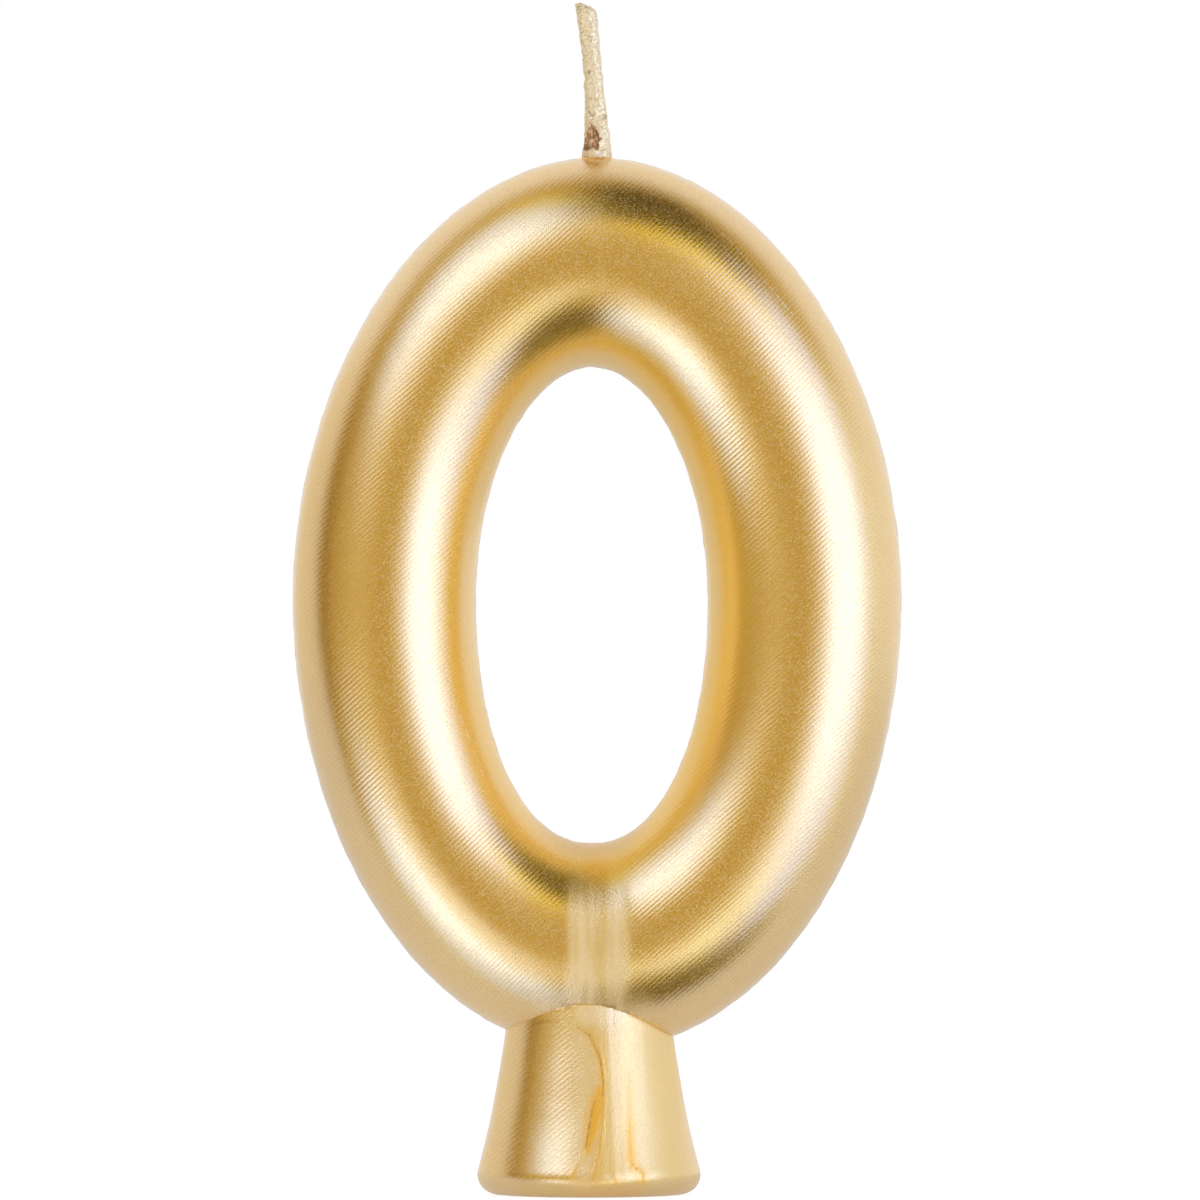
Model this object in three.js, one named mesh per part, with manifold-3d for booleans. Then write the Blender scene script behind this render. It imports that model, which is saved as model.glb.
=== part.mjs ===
// A moulded number candle in the shape of a zero: one casting of wax with a ring on a flared foot, a gold
// skin over it, and a braided cotton wick that was laid straight through the mould and cut away across
// the opening. X runs across the numeral, Y from front to back and Z up. The origin is under the middle
// of the ring, on the plane that the foot stands on.
import * as THREE from "three";
import { mergeVertices } from "three/addons/utils/BufferGeometryUtils.js";
import Module from "manifold-3d";

const wasm = await Module();
wasm.setup();

// Numeral, in millimetres
const RING_STAND = 10.4; // from the underside of the foot to the ring's lowest point
const RING_HEIGHT = 64.6;
const RING_WIDTH = 44;
const RING_DEPTH = 13.8;
const HOLE_WIDTH = 16.8;
const HOLE_HEIGHT = 34.6;
const HOLE_SHIFT = -0.4; // the opening's centre from the ring's, across
const HOLE_DROP = 0.05; // the opening's centre below the ring's

// Foot
const FOOT_WIDTH = 16.75; // across the base, to the corner that the edge radius rounds off
const FOOT_FLARE = 11.1; // degrees that the side leans in from upright
const FOOT_EDGE_RADIUS = 1.4;
const FOOT_SHIFT = -0.6; // the foot's centre from the ring's, across

// Gold skin
const SKIN_THICKNESS = 0.5;
const SKIN_LIP = 0.5; // how far the skin turns in under the foot
const COLLAR_HEIGHT = 1.5; // where the skin climbs the wick at its root
const COLLAR_ROOT_WALL = 0.3;
const COLLAR_TOP_WALL = 0.15;

// Wick
const PLY_DIAMETER = 0.44;
const PLY_SWAY = 1.05; // a ply's swing to either side, in ply spacings
const PLY_WEAVE = 0.75; // its swing to front and back
const BRAID_PITCH = 6.6; // length of wick in which a ply crosses over and back
const WICK_STANDING = 11.1; // above the crown
const WICK_LEAN = 0.85; // how far the tip stands to the left of the root
const WICK_BEND = 1.7; // 1 leans straight, and more bends the wick towards its tip
const PLY_RECESS = 0.2; // the lower cut ends stay this far above the underside, as they are slanted

// Clearances
const SEAT_GAP = 0.3; // between wax and skin, and round the wick in its bore
const PLY_GAP = 0.06; // between plies where they pass
const EXIT_GAP = 0.1; // round the wick in its collar

// Facets
const RING_STEPS = 48;
const SECTION_STEPS = 16;
const FOOT_STEPS = 36;
const EDGE_STEPS = 4;
const BORE_STEPS = 16;
const PLY_SIDES = 6;
const PLY_STEPS_PER_PITCH = 8;

const PLIES = 3;
const SMALLEST_EDGE_RADIUS = 0.1;
const CUT_THROUGH = 1; // how far a cutting shape runs past the face that it opens

const ringCentreZ = RING_STAND + RING_HEIGHT / 2;
const crownZ = RING_STAND + RING_HEIGHT;
const holeCentreZ = ringCentreZ - HOLE_DROP;
const holeTopZ = holeCentreZ + HOLE_HEIGHT / 2;
const holeLowestZ = holeCentreZ - HOLE_HEIGHT / 2;
const footLean = THREE.MathUtils.degToRad(FOOT_FLARE);
const waxInset = SKIN_THICKNESS + SEAT_GAP;
const plySpacing = PLY_DIAMETER + PLY_GAP;
const wickRadius = PLY_SWAY * plySpacing + PLY_DIAMETER / 2;

// The three.js geometry as a solid that can be cut and joined.
function solidOf(geometry) {
  const bare = geometry.clone();
  bare.deleteAttribute("normal");
  bare.deleteAttribute("uv");
  const merged = mergeVertices(bare);
  const mesh = new wasm.Mesh({
    numProp: 3,
    vertProperties: new Float32Array(merged.getAttribute("position").array),
    triVerts: new Uint32Array(merged.index.array),
  });
  return new wasm.Manifold(mesh);
}

// A cut or joined solid as three.js geometry again.
function geometryOf(solid) {
  const { vertProperties, triVerts } = solid.getMesh();
  const geometry = new THREE.BufferGeometry();
  geometry.setAttribute("position", new THREE.BufferAttribute(vertProperties, 3));
  geometry.setIndex(new THREE.BufferAttribute(triVerts, 1));
  geometry.computeVertexNormals();
  return geometry;
}

// The ring, with its whole surface moved in by inset. A torus is reshaped: its outermost line becomes the
// outer ellipse, its innermost line the opening's ellipse, and its section the ellipse between them.
function ringSolid(inset) {
  const torus = new THREE.TorusGeometry(2, 1, SECTION_STEPS, RING_STEPS);
  const points = torus.getAttribute("position");
  for (let i = 0; i < points.count; i++) {
    const turn = Math.atan2(points.getY(i), points.getX(i));
    const share = (Math.hypot(points.getX(i), points.getY(i)) - 1) / 2;
    const outerX = (RING_WIDTH / 2 - inset) * Math.cos(turn);
    const outerZ = ringCentreZ + (RING_HEIGHT / 2 - inset) * Math.sin(turn);
    const holeX = HOLE_SHIFT + (HOLE_WIDTH / 2 + inset) * Math.cos(turn);
    const holeZ = holeCentreZ + (HOLE_HEIGHT / 2 + inset) * Math.sin(turn);
    const x = THREE.MathUtils.lerp(holeX, outerX, share);
    const y = -(RING_DEPTH / 2 - inset) * points.getZ(i);
    const z = THREE.MathUtils.lerp(holeZ, outerZ, share);
    points.setXYZ(i, x, y, z);
  }
  return solidOf(torus);
}

// Centre of the foot's rounded bottom edge, as radius and height, with the surface moved in by inset.
function footEdgeCentre(inset) {
  const reach = inset + footEdgeRadius(inset);
  const radius = FOOT_WIDTH / 2 - (reach * (1 + Math.sin(footLean))) / Math.cos(footLean);
  return new THREE.Vector2(radius, reach);
}

function footEdgeRadius(inset) {
  return Math.max(FOOT_EDGE_RADIUS - inset, SMALLEST_EDGE_RADIUS);
}

// The foot turned about its own axis, with its surface moved in by inset. A plug of plugRadius runs on
// down to plugZ. The foot's top lies inside the ring, halfway up the lower arc.
function footSolid(inset, plugRadius, plugZ) {
  const edgeCentre = footEdgeCentre(inset);
  const edgeRadius = footEdgeRadius(inset);
  const profile = [new THREE.Vector2(0, plugZ), new THREE.Vector2(plugRadius, plugZ)];
  if (inset > 0) profile.push(new THREE.Vector2(plugRadius, inset), new THREE.Vector2(edgeCentre.x, inset));
  for (let i = 1; i <= EDGE_STEPS; i++) {
    const angle = THREE.MathUtils.lerp(-Math.PI / 2, footLean, i / EDGE_STEPS);
    const radius = edgeCentre.x + edgeRadius * Math.cos(angle);
    profile.push(new THREE.Vector2(radius, edgeCentre.y + edgeRadius * Math.sin(angle)));
  }
  const sideEnd = profile[profile.length - 1];
  const topZ = (RING_STAND + holeLowestZ) / 2;
  const topRadius = sideEnd.x - (topZ - sideEnd.y) * Math.tan(footLean);
  profile.push(new THREE.Vector2(topRadius, topZ), new THREE.Vector2(0, topZ));
  return turned(profile, FOOT_STEPS, FOOT_SHIFT);
}

// A profile of radius and height turned about an upright axis at x.
function turned(profile, steps, x) {
  const lathe = new THREE.LatheGeometry(profile, steps);
  lathe.rotateX(Math.PI / 2);
  lathe.translate(x, 0, 0);
  return solidOf(lathe);
}

// An upright round bar on the wick's line, from lowZ to highZ.
function wickBar(radius, lowZ, highZ) {
  const bar = new THREE.CylinderGeometry(radius, radius, highZ - lowZ, BORE_STEPS);
  bar.rotateX(Math.PI / 2);
  bar.translate(0, 0, (lowZ + highZ) / 2);
  return solidOf(bar);
}

// The gold skin: a shell over ring and foot that climbs the wick as a small collar. It is open under the
// foot and at the wick.
function goldSkin() {
  const flatRadius = footEdgeCentre(0).x;
  const exitRadius = wickRadius + EXIT_GAP;
  const collarTopZ = crownZ + COLLAR_HEIGHT;
  const collar = turned(
    [
      new THREE.Vector2(0, crownZ - SKIN_THICKNESS),
      new THREE.Vector2(exitRadius + COLLAR_ROOT_WALL, crownZ - SKIN_THICKNESS),
      new THREE.Vector2(exitRadius + COLLAR_ROOT_WALL, crownZ),
      new THREE.Vector2(exitRadius + COLLAR_TOP_WALL, collarTopZ),
      new THREE.Vector2(0, collarTopZ),
    ],
    BORE_STEPS,
    0,
  );
  const outside = ringSolid(0).add(footSolid(0, flatRadius, 0)).add(collar);
  const footInside = footSolid(SKIN_THICKNESS, flatRadius - SKIN_LIP, -CUT_THROUGH);
  const inside = ringSolid(SKIN_THICKNESS).add(footInside);
  const wickExit = wickBar(exitRadius, crownZ - 2 * waxInset, collarTopZ + CUT_THROUGH);
  return geometryOf(outside.subtract(inside).subtract(wickExit));
}

// The wax: ring and foot in one casting, with the wick's bore through the crown and from the opening's
// lowest point down to the underside.
function waxBody() {
  const plugRadius = footEdgeCentre(0).x - SKIN_LIP - SEAT_GAP;
  const boreRadius = wickRadius + SEAT_GAP;
  const casting = ringSolid(waxInset).add(footSolid(waxInset, plugRadius, 0));
  const upperBore = wickBar(boreRadius, holeTopZ - CUT_THROUGH, crownZ + CUT_THROUGH);
  const lowerBore = wickBar(boreRadius, -CUT_THROUGH, holeLowestZ + CUT_THROUGH);
  return geometryOf(casting.subtract(upperBore).subtract(lowerBore));
}

// One ply of the flat braid, from lowZ to highZ. The plies cross from side to side and pass in front of
// and behind each other at twice that rate. Above the crown the wick bends towards its tip.
class PlyCurve extends THREE.Curve {
  constructor(index, lowZ, highZ) {
    super();
    Object.assign(this, { index, lowZ, highZ });
  }
  getPoint(share, target = new THREE.Vector3()) {
    const z = THREE.MathUtils.lerp(this.lowZ, this.highZ, share);
    const phase = 2 * Math.PI * (z / BRAID_PITCH + this.index / PLIES);
    const sway = PLY_SWAY * plySpacing * Math.sin(phase);
    const weave = PLY_WEAVE * plySpacing * Math.sin(2 * phase);
    const risen = Math.max(0, z - crownZ) / WICK_STANDING;
    return target.set(sway - WICK_LEAN * Math.pow(risen, WICK_BEND), weave, z);
  }
}

function plyGeometry(index, lowZ, highZ) {
  const section = new THREE.Shape();
  for (let i = 0; i < PLY_SIDES; i++) {
    const angle = (2 * Math.PI * i) / PLY_SIDES;
    const x = (PLY_DIAMETER / 2) * Math.cos(angle);
    const y = (PLY_DIAMETER / 2) * Math.sin(angle);
    if (i === 0) section.moveTo(x, y);
    else section.lineTo(x, y);
  }
  const steps = Math.ceil(((highZ - lowZ) / BRAID_PITCH) * PLY_STEPS_PER_PITCH);
  const extrudePath = new PlyCurve(index, lowZ, highZ);
  return new THREE.ExtrudeGeometry(section, { steps, extrudePath, bevelEnabled: false });
}

const gold = new THREE.MeshStandardMaterial({ color: 0xd2ad62, metalness: 1, roughness: 0.3 });
const paraffin = new THREE.MeshStandardMaterial({ color: 0xead9a6, metalness: 0, roughness: 0.55 });
const cotton = new THREE.MeshStandardMaterial({ color: 0xdcc394, metalness: 0.3, roughness: 0.7 });

const candle = new THREE.Group();

function place(name, geometry, material) {
  const mesh = new THREE.Mesh(geometry, material);
  mesh.name = name;
  candle.add(mesh);
}

place("gold_skin", goldSkin(), gold);
place("wax_body", waxBody(), paraffin);
for (let i = 0; i < PLIES; i++) {
  const upperEndZ = holeTopZ + waxInset;
  const lowerEndZ = holeLowestZ - waxInset;
  place(`upper_wick_ply_${i + 1}`, plyGeometry(i, upperEndZ, crownZ + WICK_STANDING), cotton);
  place(`lower_wick_ply_${i + 1}`, plyGeometry(i, PLY_RECESS, lowerEndZ), cotton);
}

export default candle;
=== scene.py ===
import math

import bmesh
import bpy
from mathutils import Matrix, Vector, noise


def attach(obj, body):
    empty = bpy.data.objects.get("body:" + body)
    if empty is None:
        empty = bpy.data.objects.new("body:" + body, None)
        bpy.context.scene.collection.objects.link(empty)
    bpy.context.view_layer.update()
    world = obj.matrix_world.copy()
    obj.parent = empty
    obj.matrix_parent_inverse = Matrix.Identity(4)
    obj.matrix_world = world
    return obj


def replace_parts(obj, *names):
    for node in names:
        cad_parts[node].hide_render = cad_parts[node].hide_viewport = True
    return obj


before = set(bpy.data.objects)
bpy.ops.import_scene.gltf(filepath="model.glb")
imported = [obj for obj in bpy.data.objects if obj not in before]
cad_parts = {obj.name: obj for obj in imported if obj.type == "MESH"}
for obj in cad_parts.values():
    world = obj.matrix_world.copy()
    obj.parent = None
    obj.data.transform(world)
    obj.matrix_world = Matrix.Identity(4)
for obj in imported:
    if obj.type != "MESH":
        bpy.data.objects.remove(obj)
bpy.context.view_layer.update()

# Wick.
# A flat braid of three cotton yarns, laid through the mould before the wax was poured. It stands 11 mm out
# of the crown, leans a little to the left and was cut slantwise. Below the opening the same yarns run on
# to the underside. Sizes are in millimetres, and a finished mesh is scaled to metres.
MM = 0.001
CROWN_Z = 75
WICK_STANDING = 11.1
WICK_LEAN = 0.85
WICK_BEND = 1.7
TIP_Z = CROWN_Z + WICK_STANDING
TIP_CUT_SLOPE = 0.35  # fall of the slanted cut from left to right
TIP_CUT_REACH = 2  # how far down the slant goes
PLIES = 3
PLY_RADIUS = 0.22
PLY_SWAY = 0.525
PLY_WEAVE = 0.375
PLY_SPANS = {"upper": (60.8, TIP_Z - 0.12), "lower": (0.2, 24.6)}
PLY_STEP = 0.18
PLY_SIDES = 40
BRAID_PITCH = 6.6
BRAID_TIGHTENING = 0.15  # the braid is narrower where it stands free
TIGHTENING_RISE = 3
STRANDS = 5
STRAND_DEPTH = 0.028
STRAND_SWELL = 1.3
STRAND_TURN = 2.4  # length of yarn in which its strands go round once
SEAM_GAP = 1e-4  # points of a seam nearer than this are one
YARN_BROWN = (0.5, 0.26, 0.12, 1)
YARN_PALE = (0.86, 0.6, 0.36, 1)
YARN_KNOT = (0.3, 0.14, 0.06, 1)
ALONG_YARN = (1, 1, 0.12)
YARN_DEPTHS = (0.4, 0.25, 0.12)  # to which red, green and blue light goes in
FIBRE_HEIGHT = 0.03


def blend(low, high, value):
    """0 at low, 1 at high, a smooth change between them, and level beyond. High may be the lower."""
    share = min(max((value - low) / (high - low), 0), 1)
    return share * share * (3 - 2 * share)


def wick_centre(z):
    """Middle of the leaning wick at height z."""
    risen = max(0, z - CROWN_Z) / WICK_STANDING
    return Vector((-WICK_LEAN * risen**WICK_BEND, 0, z))


def ply_centre(index, z):
    """Middle of one of the braid's yarns at height z."""
    phase = 2 * math.pi * (z / BRAID_PITCH + index / PLIES)
    tightness = BRAID_TIGHTENING * blend(CROWN_Z, CROWN_Z + TIGHTENING_RISE, z)
    sway, weave = PLY_SWAY - tightness, PLY_WEAVE - tightness
    return wick_centre(z) + Vector((sway * math.sin(phase), weave * math.sin(2 * phase), 0))


def close_seams(bm):
    """Joins a rolled grid along its seam, closes its ends and turns its faces outwards."""
    bmesh.ops.remove_doubles(bm, verts=bm.verts, dist=SEAM_GAP)
    bmesh.ops.holes_fill(bm, edges=[edge for edge in bm.edges if edge.is_boundary])
    bmesh.ops.recalc_face_normals(bm, faces=bm.faces)


def sleeve(centre, section, low_z, high_z, steps, sides):
    """A closed tube. centre gives its middle at a height, and section its radius at a height and angle."""
    bm = bmesh.new()
    bmesh.ops.create_grid(bm, x_segments=steps, y_segments=sides, size=1)
    for vert in bm.verts:
        z = low_z + (high_z - low_z) * (vert.co.x + 1) / 2
        angle = math.pi * (vert.co.y + 1)
        radius = section(z, angle)
        vert.co = centre(z) + Vector((radius * math.cos(angle), radius * math.sin(angle), 0))
    close_seams(bm)
    return bm


def slant_tip(bm):
    """Slants the end of a tube of the wick, as its cut is slanted."""
    low_z = TIP_Z - TIP_CUT_REACH
    for vert in bm.verts:
        if vert.co.z > low_z:
            aside = vert.co.x - wick_centre(vert.co.z).x
            vert.co.z -= TIP_CUT_SLOPE * aside * blend(low_z, TIP_Z, vert.co.z)


def placed(name, data):
    """A new object in the scene, with its mesh, lamp or camera."""
    new = bpy.data.objects.new(name, data)
    bpy.context.collection.objects.link(new)
    return new


def finished(bm, name, materials, sharp_angle=35):
    """Puts a bmesh made in millimetres into the scene as a smooth piece in metres."""
    bmesh.ops.scale(bm, vec=(MM, MM, MM), verts=bm.verts)
    for face in bm.faces:
        face.smooth = True
    for edge in bm.edges:
        one_material = len({face.material_index for face in edge.link_faces}) == 1
        rounded = edge.is_manifold and edge.calc_face_angle(0) < math.radians(sharp_angle)
        edge.smooth = one_material and rounded
    mesh = bpy.data.meshes.new(name)
    bm.to_mesh(mesh)
    bm.free()
    for material in materials:
        mesh.materials.append(material)
    piece = placed(name, mesh)
    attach(piece, "root")
    return piece


def feed(tree, node, inputs):
    """Gives a shader node its inputs. Each is a value, or an output that is linked to it."""
    for socket, value in inputs.items():
        if isinstance(value, bpy.types.NodeSocket):
            tree.links.new(value, node.inputs[socket])
        else:
            node.inputs[socket].default_value = value
    return node


def add(tree, kind, inputs, **settings):
    """A new shader node, with its inputs and its other settings."""
    new = tree.nodes.new(f"ShaderNode{kind}")
    for name, value in settings.items():
        setattr(new, name, value)
    return feed(tree, new, inputs)


def maths(tree, operation, *values):
    """What a Math node makes of the values."""
    return add(tree, "Math", dict(enumerate(values)), operation=operation).outputs[0]


def mixed(tree, factor, low, high):
    """The colour that mixes low and high by factor."""
    return add(tree, "Mix", {0: factor, 6: low, 7: high}, data_type="RGBA").outputs[2]


def ranged(tree, value, low, high, to_low=0, to_high=1):
    """value carried smoothly from the range low to high into to_low to to_high."""
    inputs = {"Value": value, "From Min": low, "From Max": high, "To Min": to_low, "To Max": to_high}
    return add(tree, "MapRange", inputs, interpolation_type="SMOOTHSTEP").outputs[0]


def new_material(name):
    """A material, its node tree, its shader and the place on the piece."""
    material = bpy.data.materials.new(name)
    material.use_nodes = True
    tree = material.node_tree
    place = add(tree, "TexCoord", {}).outputs["Object"]
    return material, tree, tree.nodes["Principled BSDF"], place


def grain(tree, place, scale, detail=2, stretch=(1, 1, 1)):
    """Noise on the piece: scale is in features a metre."""
    mapped = add(tree, "Mapping", {"Vector": place, "Scale": stretch}).outputs[0]
    inputs = {"Vector": mapped, "Scale": scale, "Detail": detail}
    return add(tree, "TexNoise", inputs).outputs["Fac"]


def bumped(tree, height, depth, normal=None):
    """The normal that a height of that depth in metres gives."""
    inputs = {"Height": height, "Distance": depth, "Strength": 1}
    if normal is not None:
        inputs["Normal"] = normal
    return add(tree, "Bump", inputs).outputs[0]


def translucent(shader, weight, depths):
    """Lets light into a piece, to depths in millimetres for red, green and blue."""
    shader.inputs["Subsurface Weight"].default_value = weight
    shader.inputs["Subsurface Radius"].default_value = [depth * MM for depth in depths]
    shader.inputs["Subsurface Scale"].default_value = 1


cotton, tree, shader, place = new_material("waxed cotton yarn")
fibres = grain(tree, place, scale=9000, detail=3, stretch=ALONG_YARN)
knots = grain(tree, place, scale=1800)
yarn_colour = mixed(tree, ranged(tree, fibres, 0.35, 0.65), YARN_BROWN, YARN_PALE)
yarn_colour = mixed(tree, ranged(tree, knots, 0.55, 0.7), yarn_colour, YARN_KNOT)
tree.links.new(yarn_colour, shader.inputs["Base Color"])
tree.links.new(ranged(tree, fibres, 0.3, 0.7, 0.75, 0.5), shader.inputs["Roughness"])
tree.links.new(bumped(tree, fibres, FIBRE_HEIGHT * MM), shader.inputs["Normal"])
translucent(shader, 0.2, YARN_DEPTHS)


def ply_section(z, angle):
    """Radius of a yarn of twisted strands."""
    turn = angle - 2 * math.pi * z / STRAND_TURN
    strand = abs(math.cos(STRANDS * turn / 2)) * STRAND_SWELL
    return PLY_RADIUS - STRAND_DEPTH + STRAND_DEPTH * strand


for index in range(PLIES):
    for part, (low_z, high_z) in PLY_SPANS.items():
        steps = round((high_z - low_z) / PLY_STEP)
        ply = sleeve(lambda z: ply_centre(index, z), ply_section, low_z, high_z, steps, PLY_SIDES)
        if part == "upper":
            slant_tip(ply)
        name = f"{part}_wick_yarn_{index + 1}"
        piece = finished(ply, name, [cotton], sharp_angle=50)
        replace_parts(piece, f"{part}_wick_ply_{index + 1}")

# Wax crust on the wick.
# The wick was dipped before the candle was lacquered: lumpy wax fills and covers the braid, and the gold
# dust on it is pale. At the root, on the left, the crust has broken away and bare brown yarn shows.
CRUST_HALF_WIDTH = (
    (74.6, 1.12), (75, 1.07), (75.4, 1.04), (76, 0.98), (77, 0.9), (79.2, 0.735), (81.4, 0.67),
    (83.6, 0.71), (86.4, 0.8)
)
CRUST_FLATNESS = 0.82  # thickness over width
CRUST_SINK = 0.6  # how far it goes down into the crown
CRUST_STEPS = 190
CRUST_SIDES = 96
CRUST_RELIEF = ((0.07, 1.9), (0.02, 6.5), (0.01, 14))  # height of lumps and grains, and how fine they are
BRAID_SHOWING = 0.16  # share of the braid's own relief that the crust shows
BRAID_REACH = 0.36
TIP_ROUNDING = 0.3
TIP_NARROWING = 0.45
BARE_PATCH = ((-1, 75.65), (-0.98, 76.5), (-0.44, 77.6), (0.2, 76.4), (0.02, 75.7))
BARE_DEPTH = 0.3
BARE_BACK_Y = 0.2
BARE_WANDER = 0.12
CRACK_DEPTH = 0.04
CRACK_MIDDLE = (-0.3, 78.15)
CRACK_SLOPE = -0.28
CRACK_DARK_X = (-0.42, 0.62)  # near the crack's two ends
FLECK = (-0.58, 81.2)  # brown
GLINT = (0.12, 75.35)  # painted highlight: a white spot at the root
BROWN_TIP_Z = (85.2, 86)
CRUST_MASKS = ("bare", "dark", "glint")
DUST_DULL = (0.84, 0.6, 0.32, 1)
DUST_BRIGHT = (1, 0.83, 0.5, 1)
PALE_SPECK = (1, 0.9, 0.62, 1)
BROWN_SPECK = (0.55, 0.33, 0.14, 1)
BARE_BROWN = (0.4, 0.19, 0.07, 1)
BARE_PALE = (0.82, 0.52, 0.27, 1)
CRACK_BROWN = (0.26, 0.12, 0.04, 1)
GLINT_WHITE = (1, 0.96, 0.86, 1)
DUST_HEIGHT = 0.02


def between(points, value):
    """Value at a key, on the line through points of key and value."""
    if value <= points[0][0]:
        return points[0][1]
    for (low_key, low), (high_key, high) in zip(points, points[1:]):
        if value <= high_key:
            return low + (high - low) * (value - low_key) / (high_key - low_key)
    return points[-1][1]


def inside_distance(corners, x, z):
    """How far a place lies inside a convex outline whose corners go clockwise. Outside it is negative."""
    distances = []
    for (x0, z0), (x1, z1) in zip(corners, corners[1:] + corners[:1]):
        cross = (x1 - x0) * (z - z0) - (z1 - z0) * (x - x0)
        distances.append(-cross / math.hypot(x1 - x0, z1 - z0))
    return min(distances)


def crack_z(place, wander):
    """Height of the crack across the crust."""
    middle_x, middle_z = CRACK_MIDDLE
    return middle_z + CRACK_SLOPE * (place.x - middle_x) + wander * noise.noise(place * 2.5)


def crust_section(z, angle):
    """Radius of the lumpy crust, which shows the braid under it a little."""
    half_width = between(CRUST_HALF_WIDTH, z)
    half_depth = half_width * CRUST_FLATNESS
    radius = 1 / math.hypot(math.cos(angle) / half_width, math.sin(angle) / half_depth)
    outward = Vector((math.cos(angle), math.sin(angle), 0))
    at = wick_centre(z) + outward * radius
    reach = [(ply_centre(index, z) - wick_centre(z)).dot(outward) for index in range(PLIES)]
    radius += BRAID_SHOWING * (max(reach) - BRAID_REACH)
    for height, fineness in CRUST_RELIEF:
        radius += height * noise.noise(at * fineness)
    if at.y < BARE_BACK_Y:
        aside, above = [noise.noise(at * 3 + Vector((start, 0, 0))) * BARE_WANDER for start in (0, 7)]
        depth = inside_distance(BARE_PATCH, at.x + aside, at.z + above)
        radius -= BARE_DEPTH * blend(-0.04, 0.16, depth)
    radius -= CRACK_DEPTH * blend(0.09, 0.02, abs(z - crack_z(at, 0.1)))
    shoulder = blend(TIP_Z - TIP_ROUNDING, TIP_Z, z)
    return radius * (1 - TIP_NARROWING * shoulder * shoulder)


def crust_masks(place):
    """Shares of bare yarn, of dark cracks and edges, and of bright glint at a place on the crust."""
    x, y, z = place
    front = blend(0.1, -0.1, y)
    inside = inside_distance(BARE_PATCH, x, z) + 0.2 * noise.noise(place * 4)
    outlined = max(blend(-0.45, 0, x), blend(76.2, 75.8, z) * blend(-0.35, -0.6, x))
    outline = 0.9 * outlined * blend(0.14, 0.05, abs(inside - 0.04))
    crack_ends = max(blend(0.3, 0.1, abs(x - end_x)) for end_x in CRACK_DARK_X)
    cracked = 0.55 * blend(0.2, 0.04, abs(z - crack_z(place, 0.25))) * crack_ends
    fleck = 0.6 * blend(0.16, 0.06, math.hypot(x - FLECK[0], (z - FLECK[1]) * 0.6))
    brown_tip = 0.5 * blend(*BROWN_TIP_Z, z) * blend(0, 0.3, noise.noise(place * 5))
    # painted highlight: a white spot with lower roughness at the root
    glint = blend(0.24, 0.12, math.hypot(x - GLINT[0], (z - GLINT[1]) * 1.2))
    return (
        front * blend(-0.04, 0.12, inside),
        front * max(outline, cracked, fleck, brown_tip),
        front * glint,
    )


def mask_outputs(tree, names):
    """The masks that a mesh holds as attributes, by name."""
    return {name: add(tree, "Attribute", {}, attribute_name=name).outputs["Fac"] for name in names}


crust = sleeve(wick_centre, crust_section, CROWN_Z - CRUST_SINK, TIP_Z, CRUST_STEPS, CRUST_SIDES)
slant_tip(crust)
layers = {key: crust.verts.layers.float.new(key) for key in CRUST_MASKS}
for vert in crust.verts:
    for key, share in zip(CRUST_MASKS, crust_masks(vert.co)):
        vert[layers[key]] = share

crust_gold, tree, shader, place = new_material("gold dust on wax")
masks = mask_outputs(tree, CRUST_MASKS)
dust = grain(tree, place, scale=7500, detail=3)
cells = add(tree, "TexVoronoi", {"Vector": place, "Scale": 9500}).outputs["Color"]
picks = add(tree, "SeparateColor", {0: cells})
speck = ranged(tree, picks.outputs[0], 0.6, 0.9)
brown_speck = ranged(tree, picks.outputs[1], 0.88, 0.98, 0, 0.7)
fibre = grain(tree, place, scale=6500, detail=2, stretch=(1, 1, 0.2))
bare_yarn = mixed(tree, ranged(tree, fibre, 0.42, 0.58), BARE_BROWN, BARE_PALE)
dust_colour = mixed(tree, ranged(tree, dust, 0.35, 0.6), DUST_DULL, DUST_BRIGHT)
for share, colour in (
    (speck, PALE_SPECK),
    (brown_speck, BROWN_SPECK),
    (masks["bare"], bare_yarn),
    (masks["dark"], CRACK_BROWN),
    (masks["glint"], GLINT_WHITE),
):
    dust_colour = mixed(tree, share, dust_colour, colour)
tree.links.new(dust_colour, shader.inputs["Base Color"])
tree.links.new(maths(tree, "MULTIPLY_ADD", speck, 0.5, 0.15), shader.inputs["Metallic"])
dust_rough = ranged(tree, dust, 0.3, 0.7, 0.55, 0.32)
tree.links.new(maths(tree, "MULTIPLY_ADD", masks["glint"], -0.2, dust_rough), shader.inputs["Roughness"])
tree.links.new(bumped(tree, dust, DUST_HEIGHT * MM), shader.inputs["Normal"])
finished(crust, "wick_crust", [crust_gold], sharp_angle=60)

# Wax body.
# One casting of pale paraffin, ring and foot together, poured into the lacquered skin through the foot.
# Only its underside shows: it sank a little as it cooled, and the wick's end lies in the middle.
RING_HALF_WIDTH = 22
RING_HALF_DEPTH = 6.9
RING_CENTRE_Z = 43.07
RING_RISE = CROWN_Z - RING_CENTRE_Z
RING_FALL = 32.68
RING_SQUARENESS = (1.947, 1.994)  # powers of the upper and lower half: 2 is an ellipse
HOLE_CENTRE_X = -0.39
HOLE_HALF_WIDTH = 8.42
HOLE_RISE = 16.82
HOLE_FALL = 17.72
HOLE_SQUARENESS = (1.942, 2.137)
LOWER_ARC_CROWDING = 0.6  # crowds the ring's steps at its lower arc, where the relief is finest
SIDE_CROWDING = 0.35  # crowds the section's steps at the parting line
FOOT_CENTRE_X = -0.6
FOOT_EDGE_RADIUS = 1.4
FOOT_FLAT_RADIUS = 6.68
FOOT_EDGE_TURN = 105  # degrees of the rounded edge, from the underside up into the leaning side
FOOT_SIDE_RADIUS = 7.857  # at the height below
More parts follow.
